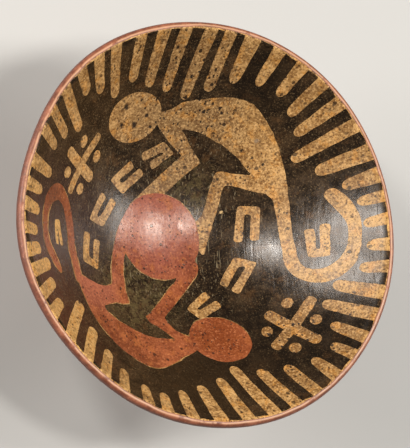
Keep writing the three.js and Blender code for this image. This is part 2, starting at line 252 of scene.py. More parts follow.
def joint_outside(index):
    return outer_station(floor_disc_radius) if index == 0 else joint_inside(index) + joint_lap


def outside_run(start, end, steps=outside_steps, swell=coil_swell):
    run = []
    for i in range(steps + 1):
        station = start + (end - start) * i / steps
        slope = math.atan(2 * rise * station)
        lift = swell * (math.sin(math.pi * i / steps) ** swell_bluntness - 0.5)
        r, z = outer(station)
        run.append((r + lift * math.sin(slope), z - lift * math.cos(slope)))
    return run


def wall_coil_profile(index):
    inside = run(inner, joint_inside(index), joint_inside(index + 1), inside_steps)
    outside = outside_run(joint_outside(index + 1), joint_outside(index))
    return inside[::-1] + outside[::-1]


def floor_profile():
    inside = run(inner, 0, floor_inner, floor_steps)
    outside = outside_run(0, joint_outside(0), floor_steps, 0)
    return inside + outside[::-1]


lip_top = math.pi / 2
lip_inside = lip_top + lip_slope
lip_outside = lip_slope - lip_top


def rim_coil_profile():
    inside = run(inner, rim_coil_start, inner_edge, inside_steps)
    lip = run(on_lip, lip_inside, lip_outside, lip_steps)[1:-1]
    outside = outside_run(joint_outside(wall_coils), inner_edge, rim_outside_steps, 0)
    return inside + lip + outside[::-1]


# Foot: a flared ring in two coils, luted under the floor disc with a third
def under_floor(radius):
    return outer(outer_station(radius))


neck_outside = under_floor(foot_neck_radius)
neck_inside = under_floor(foot_neck_radius - foot_wall)
foot_flare = 1.2


def foot_face(share, inset, neck):
    """A face of the foot, hollowed a little between its base and its neck."""
    r, z = between((foot_radius - inset, foot_edge), neck, share)
    return r - foot_flare * math.sin(math.pi * share), z


def foot_outside(share):
    return foot_face(share, 0, neck_outside)


def foot_inside(share):
    return foot_face(share, foot_wall, neck_inside)


foot_height = neck_outside[1] - foot_edge
foot_joint = (foot_joint_height - foot_edge) / foot_height
luting_share = luting_height / foot_height


def foot_base_profile():
    outside = run(foot_outside, 0, foot_joint, foot_base_steps)
    inside = run(foot_inside, 0, foot_joint, foot_base_steps)
    heel, toe = [], []
    for i in range(1, foot_round_steps + 1):
        angle = math.pi / 2 * i / foot_round_steps
        inwards, height = foot_edge * (1 - math.cos(angle)), foot_edge * (1 - math.sin(angle))
        heel.append((foot_radius - inwards, height))
        toe.append((foot_radius - foot_wall + inwards, height))
    return outside[::-1] + heel + toe[::-1] + inside


def foot_upper_profile():
    outside = run(foot_outside, foot_joint, 1, foot_upper_steps)
    return outside[::-1] + run(foot_inside, foot_joint, 1, foot_upper_steps)


def luting_profile():
    """The coil that fills the corner between foot and floor, smoothed to a hollow fillet."""
    start = foot_outside(1 - luting_share)
    end = under_floor(foot_neck)

    def fillet(t):
        return between(between(start, neck_outside, t), between(neck_outside, end, t), t)

    against_floor = run(under_floor, foot_neck, foot_neck_radius, luting_floor_steps)[1:]
    against_foot = run(foot_outside, 1, 1 - luting_share, luting_foot_steps)[1:-1]
    return run(fillet, 0, 1, luting_steps) + against_floor + against_foot


# Painted outlines in plan, X right and Y up, as drawn by hand on the bowl.
# The disc's lines are [waves round it, size in millimetres, bearing of a crest in degrees].
disc = [-2.8, 3.2, 20.5]
disc_waves = [[1, 0.7, 0], [2, 0.5, -45]]
cream_head = [-22.7, 54.7, 14.6, 10.3, 17]
red_head = [19.3, -47.8, 13.9, 11.7, 0]

cream_body = [
    [-9, 58.2], [-3.6, 59.9], [1.2, 63], [6.9, 64.1], [13.5, 64.8], [20, 65.3],
    [25.3, 65], [29.9, 64], [34.2, 62.2], [38, 58.9], [42.2, 54.3], [46.1, 48.9],
    [49.6, 42.9], [51.6, 37], [53.9, 31], [55.3, 25], [56.2, 19.7],
    [51, 16.8], [49.6, 20.2], [46.6, 23.1], [43.2, 23.8], [38.5, 25.3], [34.6, 26.8],
    [30.6, 27.5], [29, 27.6], [28, 25.8], [27.3, 20.4], [25.9, 13.8], [24.4, 8.3],
    [22.6, 2.9], [20.7, -3.6], [19.6, -5], [16, 0], [16, 10], [19.9, 14.8],
    [21.2, 20.2], [22.1, 26.3], [23.1, 30.9], [24, 33.2], [24.6, 33.8], [27, 34],
    [30.6, 32.9], [35.9, 32.4], [39.7, 31.8], [35.9, 36.1], [33.2, 39.1], [29.9, 41.8],
    [26.5, 44.4], [22.5, 46.4], [18.5, 48.4], [13.9, 50.5], [10.5, 51.4], [5.9, 51.8],
    [3.9, 52], [6.9, 49.1], [10.6, 44.4], [16, 38.6], [16.1, 37.4], [12, 34.3],
    [5.8, 28.6], [1.6, 24.6], [-0.9, 22.4], [-9, 17], [-16.4, 16.4], [-17.6, 17.8],
    [-6, 28.9], [6.6, 40.7], [-0.9, 46.2], [-8.4, 52.5], [-12, 56],
]
cream_tail = [
    [53.1, 20, 6], [53.6, 17.2, 5.9], [54.6, 10.2, 5.4], [55.2, 3.8, 5.2],
    [56, -2.9, 5.2], [57, -11, 5.8], [60, -16.1, 5.9], [65.7, -18.2, 6.8],
    [71.6, -16.8, 6.5], [76.8, -12.2, 6], [79.6, -5.5, 5], [80.5, 1.6, 4.6],
    [79.6, 8.1, 5.3], [77.1, 13.6, 5.9], [74, 18, 6.1], [71.9, 20.3, 5.6],
]
red_body = [
    [6.3, -54], [4, -55.1], [-0.7, -57.1], [-4.1, -59.2], [-8.1, -61.1],
    [-12.9, -63.4], [-18.7, -64.4], [-23.3, -63.7], [-27.6, -61.7], [-31.3, -59],
    [-35.4, -56.5], [-38.7, -53.2], [-42, -48.9], [-45.2, -44.4], [-47.6, -40.2],
    [-49.2, -36.1], [-50.2, -32], [-51.8, -26.6], [-52.8, -23.3], [-53.8, -18.7],
    [-50.7, -19.8], [-47.1, -20.6], [-43.1, -21.9], [-39.3, -23.1], [-35.2, -23.3],
    [-30.7, -22], [-29.9, -17.6], [-29.1, -12.2], [-28.1, -7], [-26.7, -2.4],
    [-25.3, 2.5], [-24, 6.5], [-22.4, 10], [-20.6, 12.5], [-17, 9], [-17, -2],
    [-20.6, -5.8], [-21.8, -9.7], [-22.8, -16.9], [-23.1, -24], [-22.6, -26.9],
    [-22.3, -30.7], [-25.9, -31.4],
    [-29.9, -31], [-34.6, -32.2], [-39, -33.8], [-38, -36.2], [-35.3, -38.1],
    [-31.9, -40.6], [-27.7, -42.5], [-23.1, -44.6], [-17.9, -46.8], [-12.6, -47.8],
    [-7.3, -47.9], [-1.8, -48.1], [-5.8, -44.7], [-9.1, -42], [-12.9, -39.8],
    [-14.9, -36.8], [-12.2, -35.4], [-7.2, -31], [-3, -26.6], [2, -21], [5.6, -17.6],
    [6, -11], [14, -6], [16.9, -9.2], [16.9, -12.4], [15.7, -15.3], [13.4, -17.8],
    [10.4, -21.4], [6.4, -25.8], [2.5, -30], [-1.9, -34.4], [-4.6, -36.9],
    [-3.5, -39.4], [-0.7, -43], [2.5, -45.2], [4.6, -46], [10, -48],
]
red_tail = [
    [-52.2, -23, 4.4], [-52.1, -20.7, 4.3], [-53.2, -13.7, 4.6], [-54.6, -6.8, 4.5],
    [-55, -0.8, 4.5], [-56.4, 5.2, 4.9], [-58.8, 11.2, 5], [-62.8, 15.2, 6.4],
    [-66.4, 16, 7.6], [-71.7, 11.9, 5.8], [-74.4, 4.2, 3.9], [-74.3, -1.5, 3.7],
    [-73.6, -7.3, 4.2], [-70.7, -12.2, 4.6], [-67.5, -16.6, 4], [-64.6, -21, 1.8],
]

# Each bracket is two prongs, [base x, base y, tip x, tip y], joined across their bases.
bracket_stroke = 4
small_bracket_stroke = 2.3
brackets = [
    [[-3.7, 44.1, -13.9, 38.8], [0.3, 41.6, -8.7, 35.5]],
    [[-28, 27.4, -18.4, 35.5], [-22.7, 24.1, -12.7, 33]],
    [[-40.3, 8.9, -33.8, 20.6], [-34.3, 7.6, -27.4, 18.7]],
    [[-45.2, -11.4, -43.9, 1.7], [-39.3, -13.6, -37.3, -1.1]],
    [[36.9, 16.2, 35.9, 1], [43.2, 15.6, 42.8, 1.3]],
    [[34.5, -8.4, 27.3, -20.4], [41, -10.2, 32, -23.7]],
    [[10.2, -31.9, 19.7, -24.3], [13.9, -35, 24, -29]],
    [[64.8, -7, 64.2, 5], [69.6, -7.2, 70, 6.6]],
]
small_bracket = [[-65.9, 2.4, -65, -8], [-64, 2.8, -61.7, -8]]

# How far the ends of a stroke stand out, as a share of its width
cream_tail_end = 0.5
red_tail_end = 0.2
cross_end = 0.3

# Each cross is two arms through points [x, y, width], with a dot in each corner.
dot_half_length = 2.9
dot_half_width = 2.2
crosses = [
    {
        "arms": [
            [[-59.6, 34.9, 5.6], [-43.7, 26.9, 5.6]],
            [[-41.5, 44.8, 3.4], [-50, 31.8, 3.6], [-57.1, 18, 3.6]],
        ],
        "dots": [[-50.8, 40.9], [-40.9, 36.1], [-59.8, 26], [-49.9, 20.5]],
        "tilt": 60,
    },
    {
        "arms": [
            [[43.9, -36, 5.5], [58.9, -50, 5.5]],
            [[62, -29.2, 4.2], [52.9, -41.4, 4.2], [42, -52.7, 4.2]],
        ],
        "dots": [[52.3, -30.4], [61.2, -39.8], [41.1, -44.4], [49.6, -53.4]],
        "tilt": 50,
    },
]

# Each ray is [bearing at the rim, bearing at its tip, distance of its tip from the axis,
# width near its tip, width at the rim].
rays = [
    [87.5, 89, 64, 5.5, 6.8], [81.5, 80, 68.5, 5.6, 6.1], [74.5, 72.5, 74, 5, 8.2],
    [65.5, 64, 77, 4.5, 6.8], [57, 56, 78, 5, 6.7], [49, 48.5, 75.5, 5.2, 6.7],
    [41, 41.5, 72.5, 4.6, 7.2], [33, 34, 66.5, 5, 7], [24, 25.5, 72, 5.6, 8.1],
    [17, 17, 79, 5, 7.8], [10.5, 10.5, 82.5, 4.6, 5.9], [4, 3, 83.5, 5, 6],
    [-4, -4, 84, 5, 6.8], [-10.5, -11.5, 82, 5, 6.3], [-19, -18, 74, 5.4, 7.3],
    [-26, -26, 72.5, 5.2, 7], [-34, -33, 78.5, 5, 6.6], [-40.5, -40, 82.5, 4.8, 6.3],
    [-49.5, -47.5, 80.5, 5, 7], [-57.5, -55.5, 75.5, 5.5, 6], [-65, -64, 71, 5.5, 6.7],
    [-72.5, -72, 65, 5.2, 6.8], [-81, -80.5, 69, 5.1, 7], [-89.5, -90, 72.5, 5, 7.8],
    [-98.5, -98.5, 76.5, 4.7, 6.8], [-106.5, -106, 81, 4.8, 6.8],
    [-112.5, -113, 81, 4.6, 6.6], [-121, -121, 78.5, 5, 6.4], [-128, -128, 73.5, 5, 6.3],
    [-134.5, -137, 69.5, 6, 6.3], [-142, -147.5, 64.5, 6, 7], [-150.5, -152.5, 78.5, 5.2, 7],
    [-156.5, -159.5, 76.5, 5.6, 6], [-163.5, -166, 74.5, 5.7, 6.2],
    [-169.5, -171, 80, 5.5, 6.5], [-176, -176.5, 81, 4.8, 5.7], [177, 177, 79.5, 5, 6.7],
    [171.5, 170, 79.5, 5, 6.8], [164.5, 162.5, 75.5, 5.2, 7], [154.5, 154, 78.5, 4.8, 6.5],
    [148, 147.5, 75.5, 5.3, 5.6], [140.5, 140.5, 70.5, 5.6, 7.2], [133, 132.5, 80.5, 5.7, 6.6],
    [125.5, 127, 76.5, 5.2, 6.6], [119, 121, 71, 4.9, 6.4], [110, 113, 74, 5.3, 6],
    [102.5, 106, 70, 5, 6.9], [95.5, 98, 67, 5, 6.6],
]


def resampled(loop, spacing=outline_spacing):
    """A closed outline's points at even steps along it."""
    loop = np.array(loop, float)
    ends = np.vstack([loop, loop[:1]])
    lengths = np.hypot(*np.diff(ends, axis=0).T)
    along = np.concatenate([[0], np.cumsum(lengths)])
    count = max(8, round(along[-1] / spacing))
    stations = np.linspace(0, along[-1], count, endpoint=False)
    return np.column_stack([np.interp(stations, along, values) for values in ends.T])


def unit(vectors):
    return vectors / np.maximum(np.hypot(*vectors.T), tiny)[:, None]


def left_of(vectors):
    return np.column_stack([-vectors[:, 1], vectors[:, 0]])


def loop_normals(loop):
    tangent = unit(np.roll(loop, -1, axis=0) - np.roll(loop, 1, axis=0))
    area = np.sum(loop[:, 0] * np.roll(loop[:, 1], -1) - np.roll(loop[:, 0], -1) * loop[:, 1])
    return -left_of(tangent) * np.sign(area)


# How far the brush rounds the corners of each kind of outline
softness = {
    "ray": 0.5, "bracket": 0.9, "small_bracket": 0.7, "cross": 0.6, "dot": 0.4,
    "figure": 0.6, "disc": 0.8,
}
# Waves of a brushed edge, and of the slip left bare round the red figures
brush_waves = [[5, 0.22], [1.6, 0.12]]
brush_seed = 3
reserve = 0.22
reserve_least = 0.06
reserve_waves = [[13, 0.8], [4, 0.35]]
reserve_seed = 6
ellipse_steps = 90
disc_steps = 150
line_steps = 6
cap_steps = 8
ray_steps = 24


def brushed(loop, kind, bare=False):
    """An outline as a brush leaves it: corners softened and the edge a little uneven.

    With bare, it is the edge of the bare slip that is left outside that outline.
    """
    soft_reach = softness[kind]
    fine_spacing = outline_spacing / 2
    fine = resampled(loop, fine_spacing)
    reach = round(3 * soft_reach / fine_spacing)
    weights = np.exp(-0.5 * (np.arange(-reach, reach + 1) * fine_spacing / soft_reach) ** 2)
    weights /= weights.sum()
    soft = sum(w * np.roll(fine, k - reach, axis=0) for k, w in enumerate(weights))
    flat = np.column_stack([soft, np.zeros(len(soft))])
    wander = noise_waves(flat, brush_waves, brush_seed)
    if bare:
        extra = noise_waves(flat, reserve_waves, reserve_seed)
        wander = wander + np.maximum(reserve + extra, reserve_least)
    return resampled(soft + loop_normals(soft) * wander[:, None])


def ellipse(x, y, half_length, half_width, tilt):
    cos, sin = polar(1, math.radians(tilt))
    upright = polar(1, full_turn(ellipse_steps)) * [half_length, half_width]
    return [x, y] + upright @ [[cos, sin], [-sin, cos]]


def disc_outline():
    x, y, radius = disc
    turn = full_turn(disc_steps)
    return [x, y] + polar(radius + round_waves(turn, disc_waves), turn)


def smooth_line(points):
    """A smooth line through points [x, y, width]."""
    points = np.array(points, float)
    if len(points) < 3:
        return points
    padded = np.vstack([2 * points[0] - points[1], points, 2 * points[-1] - points[-2]])
    t = np.arange(line_steps)[:, None] / line_steps
    line = []
    for a, b, c, d in zip(padded, padded[1:], padded[2:], padded[3:]):
        bend, twist = 2 * a - 5 * b + 4 * c - d, 3 * b - a - 3 * c + d
        line.append(b + ((c - a) * t + bend * t**2 + twist * t**3) / 2)
    return np.vstack([*line, points[-1:]])


def stroke(points, round_ends):
    """The outline of a brush stroke along points [x, y, width].

    Its ends stand out by the share round_ends of the width.
    """
    line = smooth_line(points)
    middles, half_widths = line[:, :2], line[:, 2:] / 2
    padded = np.vstack([middles[:1], middles, middles[-1:]])
    along = unit(padded[2:] - padded[:-2])
    across = left_of(along)
    turn = np.radians(np.linspace(90, -90, cap_steps + 1)[1:-1])
    caps = []
    for end, way in ((0, -1), (-1, 1)):
        ahead = np.outer(np.cos(turn) * 2 * round_ends, along[end])
        aside = np.outer(np.sin(turn), across[end])
        caps.append(middles[end] + (ahead + aside) * half_widths[end] * way)
    sides = across * half_widths
    return np.vstack([caps[0], middles + sides, caps[1], (middles - sides)[::-1]])


# A ray's rounded tip, and how soon it reaches its full width
ray_tip_length = 2.7
ray_fill = 1.25


def ray_outline(rim_bearing, tip_bearing, tip_distance, tip_width, rim_width):
    """A ray from its rounded tip, filling out fast and then slowly, to past the rim."""
    rim = polar(rim_radius, math.radians(rim_bearing))
    tip = polar(tip_distance, math.radians(tip_bearing))
    length = math.hypot(*(rim - tip))
    along = (rim - tip) / length
    shares = np.linspace(0, 1, ray_steps) ** 2
    widths = tip_width + (rim_width - tip_width) * np.minimum(1, ray_fill * shares)
    widths *= np.sqrt(1 - (1 - np.minimum(1, shares * length / ray_tip_length)) ** 2)
    middles = tip + np.outer(shares * length, along)
    sides = np.outer(widths / 2, [-along[1], along[0]])
    return np.vstack([middles + sides, (middles - sides)[:0:-1]])


# How far a bent stroke's corner stands out, as a share of half its width
corner_reach = 1.25


def bracket_outline(prongs, width):
    """Both prongs and their base as one bent stroke, its corners cut a little short."""
    (ax, ay, bx, by), (cx, cy, dx, dy) = prongs
    line = np.array([[bx, by], [ax, ay], [cx, cy], [dx, dy]])
    normals = left_of(unit(np.diff(line, axis=0)))
    both = normals[[0, 0, 1, 2]] + normals[[0, 1, 2, 2]]
    length = np.hypot(*both.T)[:, None]
    sides = width / 2 * np.minimum(2 / length, corner_reach) * both / length
    return np.vstack([line + sides, (line - sides)[::-1]])


def figure_outlines():
    """The painted outlines by what they are."""
    pattern = [brushed(ray_outline(*ray), "ray") for ray in rays]
    pattern += [brushed(bracket_outline(b, bracket_stroke), "bracket") for b in brackets]
    pattern.append(brushed(bracket_outline(small_bracket, small_bracket_stroke), "small_bracket"))
    for cross in crosses:
        pattern += [brushed(stroke(arm, cross_end), "cross") for arm in cross["arms"]]
        for x, y in cross["dots"]:
            spot = ellipse(x, y, dot_half_length, dot_half_width, cross["tilt"])
            pattern.append(brushed(spot, "dot"))
    cream = [cream_body, ellipse(*cream_head), stroke(cream_tail, cream_tail_end)]
    red = [red_body, ellipse(*red_head), stroke(red_tail, red_tail_end)]
    return {
        "pattern": pattern,
        "cream": [brushed(loop, "figure") for loop in cream],
        "disc": [brushed(disc_outline(), "disc")],
        "red": [brushed(loop, "figure") for loop in red],
        "halo": [brushed(loop, "figure", bare=True) for loop in [disc_outline(), *red]],
    }


def within(loops, points):
    """Which points lie inside any of the closed outlines."""
    found = np.zeros(len(points), bool)
    for loop in loops:
        low, high = loop.min(0), loop.max(0)
        near = np.flatnonzero(np.all((points >= low) & (points <= high), axis=1))
        if not len(near):
            continue
        x, y = points[near, 0][:, None], points[near, 1][:, None]
        start, end = loop, np.roll(loop, -1, axis=0)
        spans = (start[:, 1] > y) != (end[:, 1] > y)
        climb = np.where(end[:, 1] == start[:, 1], tiny, end[:, 1] - start[:, 1])
        cross_x = start[:, 0] + (y - start[:, 1]) * (end[:, 0] - start[:, 0]) / climb
        found[near] |= (np.sum(spans & (x < cross_x), axis=1) % 2).astype(bool)
    return found


# The dark coat stops a little short of the band, and leaves a thin line of slip there.
band_edge_waves = [[9, 0.28], [2.5, 0.12]]
band_edge_seed = 5
bare_line = 0.6
bare_line_least = 0.1
bare_line_waves = [[7, 0.9], [2, 0.3]]
bare_line_seed = 8


def rim_wander(bearing, waves, seed):
    return noise_waves([[*polar(rim_radius, bearing), 0]], waves, seed)[0]


@np.vectorize
def paint_edge(bearing):
    """Where the band starts, as a distance from the axis: the brush wanders a little."""
    return band_inner + rim_wander(bearing, band_edge_waves, band_edge_seed)


@np.vectorize
def dark_edge(bearing):
    line = bare_line + rim_wander(bearing, bare_line_waves, bare_line_seed)
    return paint_edge(bearing) - max(bare_line_least, line)


# The face's inner points stay this share of their spacing away from every outline. Points
# closer than merge_distance become one.
outline_gap = 0.4
merge_distance = 1e-5
smallest_area = 1e-5
grid_chunks = 20


def spread_points(outline_points):
    """Points in staggered rows over the face, clear of the outlines."""
    x, y = np.meshgrid(
        np.arange(-rim_radius, rim_radius, face_spacing),
        np.arange(-rim_radius, rim_radius, face_spacing * math.sqrt(3) / 2),
    )
    x[1::2] += face_spacing / 2
    grid = np.column_stack([x.ravel(), y.ravel()])
    grid = grid[np.hypot(*grid.T) < inner_edge - face_spacing / 2]
    clear = []
    for chunk in np.array_split(grid, grid_chunks):
        gaps = np.hypot(*(chunk[:, None] - outline_points[None]).transpose(2, 0, 1)).min(1)
        clear.append(chunk[gaps > face_spacing * outline_gap])
    return np.vstack(clear)


def divided_face(loops):
    """The painted face in triangles whose sides follow every outline."""
    bearings = full_turn(edge_points)
    edge = paint_edge(bearings)
    all_loops = [polar(edge, bearings), polar(dark_edge(bearings), bearings), *loops]
    outline_points = np.vstack(all_loops)
    lip_rings = [polar(inner_edge + (edge - inner_edge) * share, bearings) for share in (0, 0.5)]
    points = np.vstack([outline_points, *lip_rings, spread_points(outline_points)])
    edges = []
    for loop in all_loops:
        start, count = len(edges), len(loop)
        edges += [(start + i, start + (i + 1) % count) for i in range(count)]
    found = delaunay_2d_cdt([Vector(p) for p in points], edges, [], 0, merge_distance, False)
    plan, triangles = (np.array([list(row) for row in rows]) for rows in (found[0], found[2]))
    corners = plan[triangles]
    winding = np.cross(corners[:, 1] - corners[:, 0], corners[:, 2] - corners[:, 0])
    triangles[winding < 0] = triangles[winding < 0][:, ::-1]
    return plan, triangles[np.abs(winding) > smallest_area]


normal_step = 0.2


def clay_height(x, y):
    """Height of the clay under the coats, which climb from the inner face onto the lip."""
    radius = np.hypot(x, y)
    on_round = np.sqrt(np.maximum(lip_radius**2 - (radius - lip_r) ** 2, 0))
    return np.where(radius < inner_edge, floor_top + rise * radius**2, lip_z + on_round)


def coat_points(plan, lift):
    x, y = plan[:, 0], plan[:, 1]
    return shaped(np.column_stack([x, y, clay_height(x, y) + lift]))


def coat_normals(plan):
    over_x, over_y = (
        coat_points(plan + step, 0) - coat_points(plan - step, 0)
        for step in np.eye(2) * normal_step
    )
    normals = np.cross(over_x, over_y)
    return normals / np.linalg.norm(normals, axis=1)[:, None]


def joined_areas(triangles):
    """Numbers the triangles by the area, joined through their sides, that each belongs to."""
    sides = np.sort(triangles[:, [[0, 1], [1, 2], [2, 0]]]).reshape(-1, 2)
    side = np.unique(sides, axis=0, return_inverse=True)[1].reshape(-1, 3)
    area, before = np.arange(len(triangles)), None
    while not np.array_equal(area, before):
        before = area
        lowest = np.full(side.max() + 1, len(triangles))
        np.minimum.at(lowest, side, area[:, None])
        area = lowest[side].min(1)
        area = area[area]
    return area


# Colours in sRGB, by the material and by what each one is on it
tones = {
    "cream_slip": {
        # The pale tone at the end of this line is painted light.
        "ground": (142, 103, 56), "light": (192, 148, 90), "pale": (222, 172, 100),
        # The grey tone and the last tone on this line are painted shade.
        "grey": (126, 98, 64), "stain": (128, 96, 58), "painted_shade": (112, 76, 36),
        "golden": (200, 138, 62), "light_grain": (224, 178, 120), "dark_grain": (92, 56, 26),
        "scuff": (104, 74, 48), "speck": (32, 22, 15), "grey_mark": (120, 108, 96),
    },
    "red_paint": {
        # The rosy tone at the end of this line is partly the paint's own colour and partly a painted
        # sheen.
        "ground": (117, 58, 34), "light": (153, 83, 50), "rosy": (162, 90, 72),
        # The brown tone on this line is painted shade.
        "warm": (180, 104, 54), "brown": (120, 58, 25), "pink": (172, 100, 78),
        "patchy": (84, 50, 34), "light_grain": (214, 138, 92), "dark_grain": (84, 40, 26),
        "speck": (48, 28, 24),
    },
    "dark_coat": {
        "ground": (31, 22, 14), "light": (60, 44, 27), "brown": (88, 60, 34),
        "olive": (92, 78, 48), "purple": (56, 38, 36), "light_grain": (158, 128, 88),
        # The last tone on this line is painted shade.
        "dark_grain": (14, 10, 7), "dust": (138, 116, 84), "painted_shade": (20, 14, 9),
        "scratch": (164, 146, 114), "chip": (206, 172, 120),
    },
    "red_rim": {
        # The outer side tone at the end of this line is painted shade.
        "ground": (114, 62, 42), "light": (156, 93, 65), "painted_shade_outer_side": (92, 47, 36),
        "dark_grain": (88, 50, 38), "light_grain": (204, 148, 122), "dirt": (84, 54, 40),
        # A painted highlight along the band's inner edge.
        "painted_highlight": (218, 168, 130),
    },
    "clay": {
        "ground": (126, 78, 54), "light": (160, 106, 74), "cloud": (70, 50, 40),
        "streak": (178, 126, 90), "grain": (84, 52, 38), "speck": (60, 42, 34),
    },
    "pale_floor": {"ground": (190, 188, 184)},
}
# How coarsely and how far the edges of marks and clouds wander, and between which shares of
# their radius they fade. A speck's three are shares of its radius.
spot_grain = 0.9
spot_wander = 1.5
spot_fade = (1.25, 0.45)
cloud_grain = 14
cloud_wander = 16
cloud_fade = (1.25, 0.4)
speck_grain = 1.1
speck_wander = 1.2
speck_fade = 0.2
tone_range = (0.3, 0.7)
lip_fade = (inner_edge - 2, inner_edge + 0.5)
pit_depth = 0.06
texture_seed_steps = (0.37, 0.11, 0.23)


def srgb(color):
    shares = [value / 255 for value in color]
    linear = [v / 12.92 if v <= 0.04045 else ((v + 0.055) / 1.055) ** 2.4 for v in shares]
    return (*linear, 1)


def texture_shift(seed):
    return [seed * step for step in texture_seed_steps]


class Look:
    """A material's shader nodes, with lengths in millimetres.

    Its tones are laid one over another, from the ground up.
    """

    def __init__(self, name):
        self.material = bpy.data.materials.new(name)
        self.material.use_nodes = True
        self.tree = self.material.node_tree
        self.tree.nodes.clear()
        self.place = self.add("ShaderNodeTexCoord").outputs["Object"]
        self.tones = {key: srgb(color) for key, color in tones[name].items()}
        self.color = self.tones["ground"]
        self.relief = {}

    def add(self, kind, feeds=None, **settings):
        """A new node with its settings, and with a socket or a value fed to each input."""
        node = self.tree.nodes.new(kind)
        for key, value in settings.items():
            setattr(node, key, value)
        for key, value in (feeds or {}).items():
            if isinstance(value, bpy.types.NodeSocket):
                self.tree.links.new(value, node.inputs[key])
            else:
                node.inputs[key].default_value = value
        return node

    def vector(self, kind, *feeds, output=0):
        feeds = dict(enumerate(feeds))
        return self.add("ShaderNodeVectorMath", feeds, operation=kind).outputs[output]

    def number(self, kind, a, b):
        return self.add("ShaderNodeMath", {0: a, 1: b}, operation=kind).outputs[0]

    def product(self, a, b):
        return self.number("MULTIPLY", a, b)

    def most(self, a, b):
        return self.number("MAXIMUM", a, b)

    def ramp(self, value, low, high, to_low=0, to_high=1, kind="SMOOTHSTEP"):
        feeds = {
            "Value": value, "From Min": low, "From Max": high, "To Min": to_low, "To Max": to_high
        }
        return self.add("ShaderNodeMapRange", feeds, interpolation_type=kind).outputs["Result"]

    def noise(self, size, detail, rough, stretch=(1, 1, 1), turn=0, seed=0, output="Fac"):
        feeds = {
            "Vector": self.place, "Location": texture_shift(seed),
            "Rotation": (0, 0, math.radians(turn)), "Scale": stretch,
        }
        place = self.add("ShaderNodeMapping", feeds).outputs["Vector"]
        feeds = {"Vector": place, "Scale": 1 / (size * MM), "Detail": detail, "Roughness": rough}
        return self.add("ShaderNodeTexNoise", feeds).outputs[output]

    def ragged(self, size, amount, seed):
        """Places shifted a little this way and that, for edges that aren't round."""
        shift = self.noise(size, 2, 0.5, seed=seed, output="Color")
        return self.vector("MULTIPLY_ADD", shift, (amount * MM, amount * MM, 0), self.place)

    def specks(self, spacing, largest, share, seed, dimensions="2D"):
        """Specks of up to a given radius, in a share of the cells."""
        ragged = self.ragged(largest * speck_grain, largest * speck_wander, seed)
        shifted = self.vector("ADD", ragged, texture_shift(seed))
        feeds = {"Vector": shifted, "Scale": 1 / (spacing * MM)}
        cells = self.add("ShaderNodeTexVoronoi", feeds, voronoi_dimensions=dimensions).outputs
        pick = self.add("ShaderNodeSeparateColor", {0: cells["Color"]}).outputs[0]
        radius = self.ramp(pick, 1 - share, 1, 0, largest / spacing, "LINEAR")
        inside = self.number("SUBTRACT", radius, cells["Distance"])
        return self.ramp(inside, 0, speck_fade * largest / spacing)

    def from_axis(self, place, x=0, y=0):
        """Distance in plan of a place from the axis, or from an upright line through x, y."""
        plan = self.vector("MULTIPLY", place, (1, 1, 0))
        return self.vector("DISTANCE", plan, (x * MM, y * MM, 0), output="Value")

    def soft_round(self, place, x, y, radius, wander, fade):
        """From 0 outside a round at x, y to 1 inside, for a place shifted by up to wander."""
        away = self.from_axis(place, x + wander / 2, y + wander / 2)
        return self.ramp(away, *(radius * MM * share for share in fade))

    def spots(self, places, seed):
        """Marks at given places [x, y, radius], with broken edges."""
        shifted = self.ragged(spot_grain, spot_wander, seed)
        marks = 0
        for place in places:
            marks = self.most(marks, self.soft_round(shifted, *place, spot_wander, spot_fade))
        return marks

    def cloud(self, x, y, radius, seed):
        """A soft patch round a place, broken up by a coarse noise."""
        shifted = self.ragged(cloud_grain, cloud_wander, seed)
        return self.soft_round(shifted, x, y, radius, cloud_wander, cloud_fade)

    def lip(self):
        """From 0 on the inner face to 1 on the lip, where the burnishing stone doesn't reach."""
        return self.ramp(self.from_axis(self.place), *(radius * MM for radius in lip_fade))

    def bump(self, height, depth):
        """Adds a height from 0 to 1 times a depth to the relief so far."""
        feeds = {"Strength": 1, "Distance": depth * MM, "Height": height, **self.relief}
        self.relief = {"Normal": self.add("ShaderNodeBump", feeds).outputs["Normal"]}

    def burnish(self, streaks, grain, waves):
        """The polished face: slow waves, strokes of the polishing stone and a fine grain."""
        self.bump(self.noise(5, 2, 0.5, (1, 0.6, 1), 15, 4), waves)
        self.bump(self.noise(2.4, 2, 0.5, (1, 0.14, 0.3), 6, 1), streaks * 2)
        self.bump(self.noise(0.9, 2, 0.5, (1, 0.08, 0.3), 3), streaks)
        self.bump(self.noise(0.7, 3, 0.7, seed=2), grain)

    def pit(self, pits):
        self.bump(self.number("SUBTRACT", 1, pits), pit_depth)

    def paint(self, tone, share, amount=1):
        """Lays a tone over the colour so far, where share is above 0."""
        if amount != 1:
            share = self.product(share, amount)
        feeds = {0: share, 6: self.color, 7: self.tones[tone]}
        self.color = self.add("ShaderNodeMix", feeds, data_type="RGBA").outputs[2]

    def patches(self, tone, amount, noise, low, high):
        """Lays a tone where a noise goes from low to high."""
        self.paint(tone, self.ramp(noise, low, high), amount)

    def clouds(self, tone, amount, places, seed):
        """Lays a tone in soft patches at given places [x, y, radius]."""
        for x, y, radius in places:
            self.paint(tone, self.cloud(x, y, radius, seed), amount)

    def roughness(self, tone, low, high):
        return self.ramp(tone, *tone_range, low, high)

    def finish(self, roughness, specular=0.5, tint=(1, 1, 1)):
        feeds = {
            "Base Color": self.color, "Roughness": roughness, **self.relief,
            "Specular IOR Level": specular, "Specular Tint": (*tint, 1),
        }
        return self.output(self.add("ShaderNodeBsdfPrincipled", feeds).outputs["BSDF"])

    def output(self, surface):
        self.add("ShaderNodeOutputMaterial", {"Surface": surface})
        return self.material


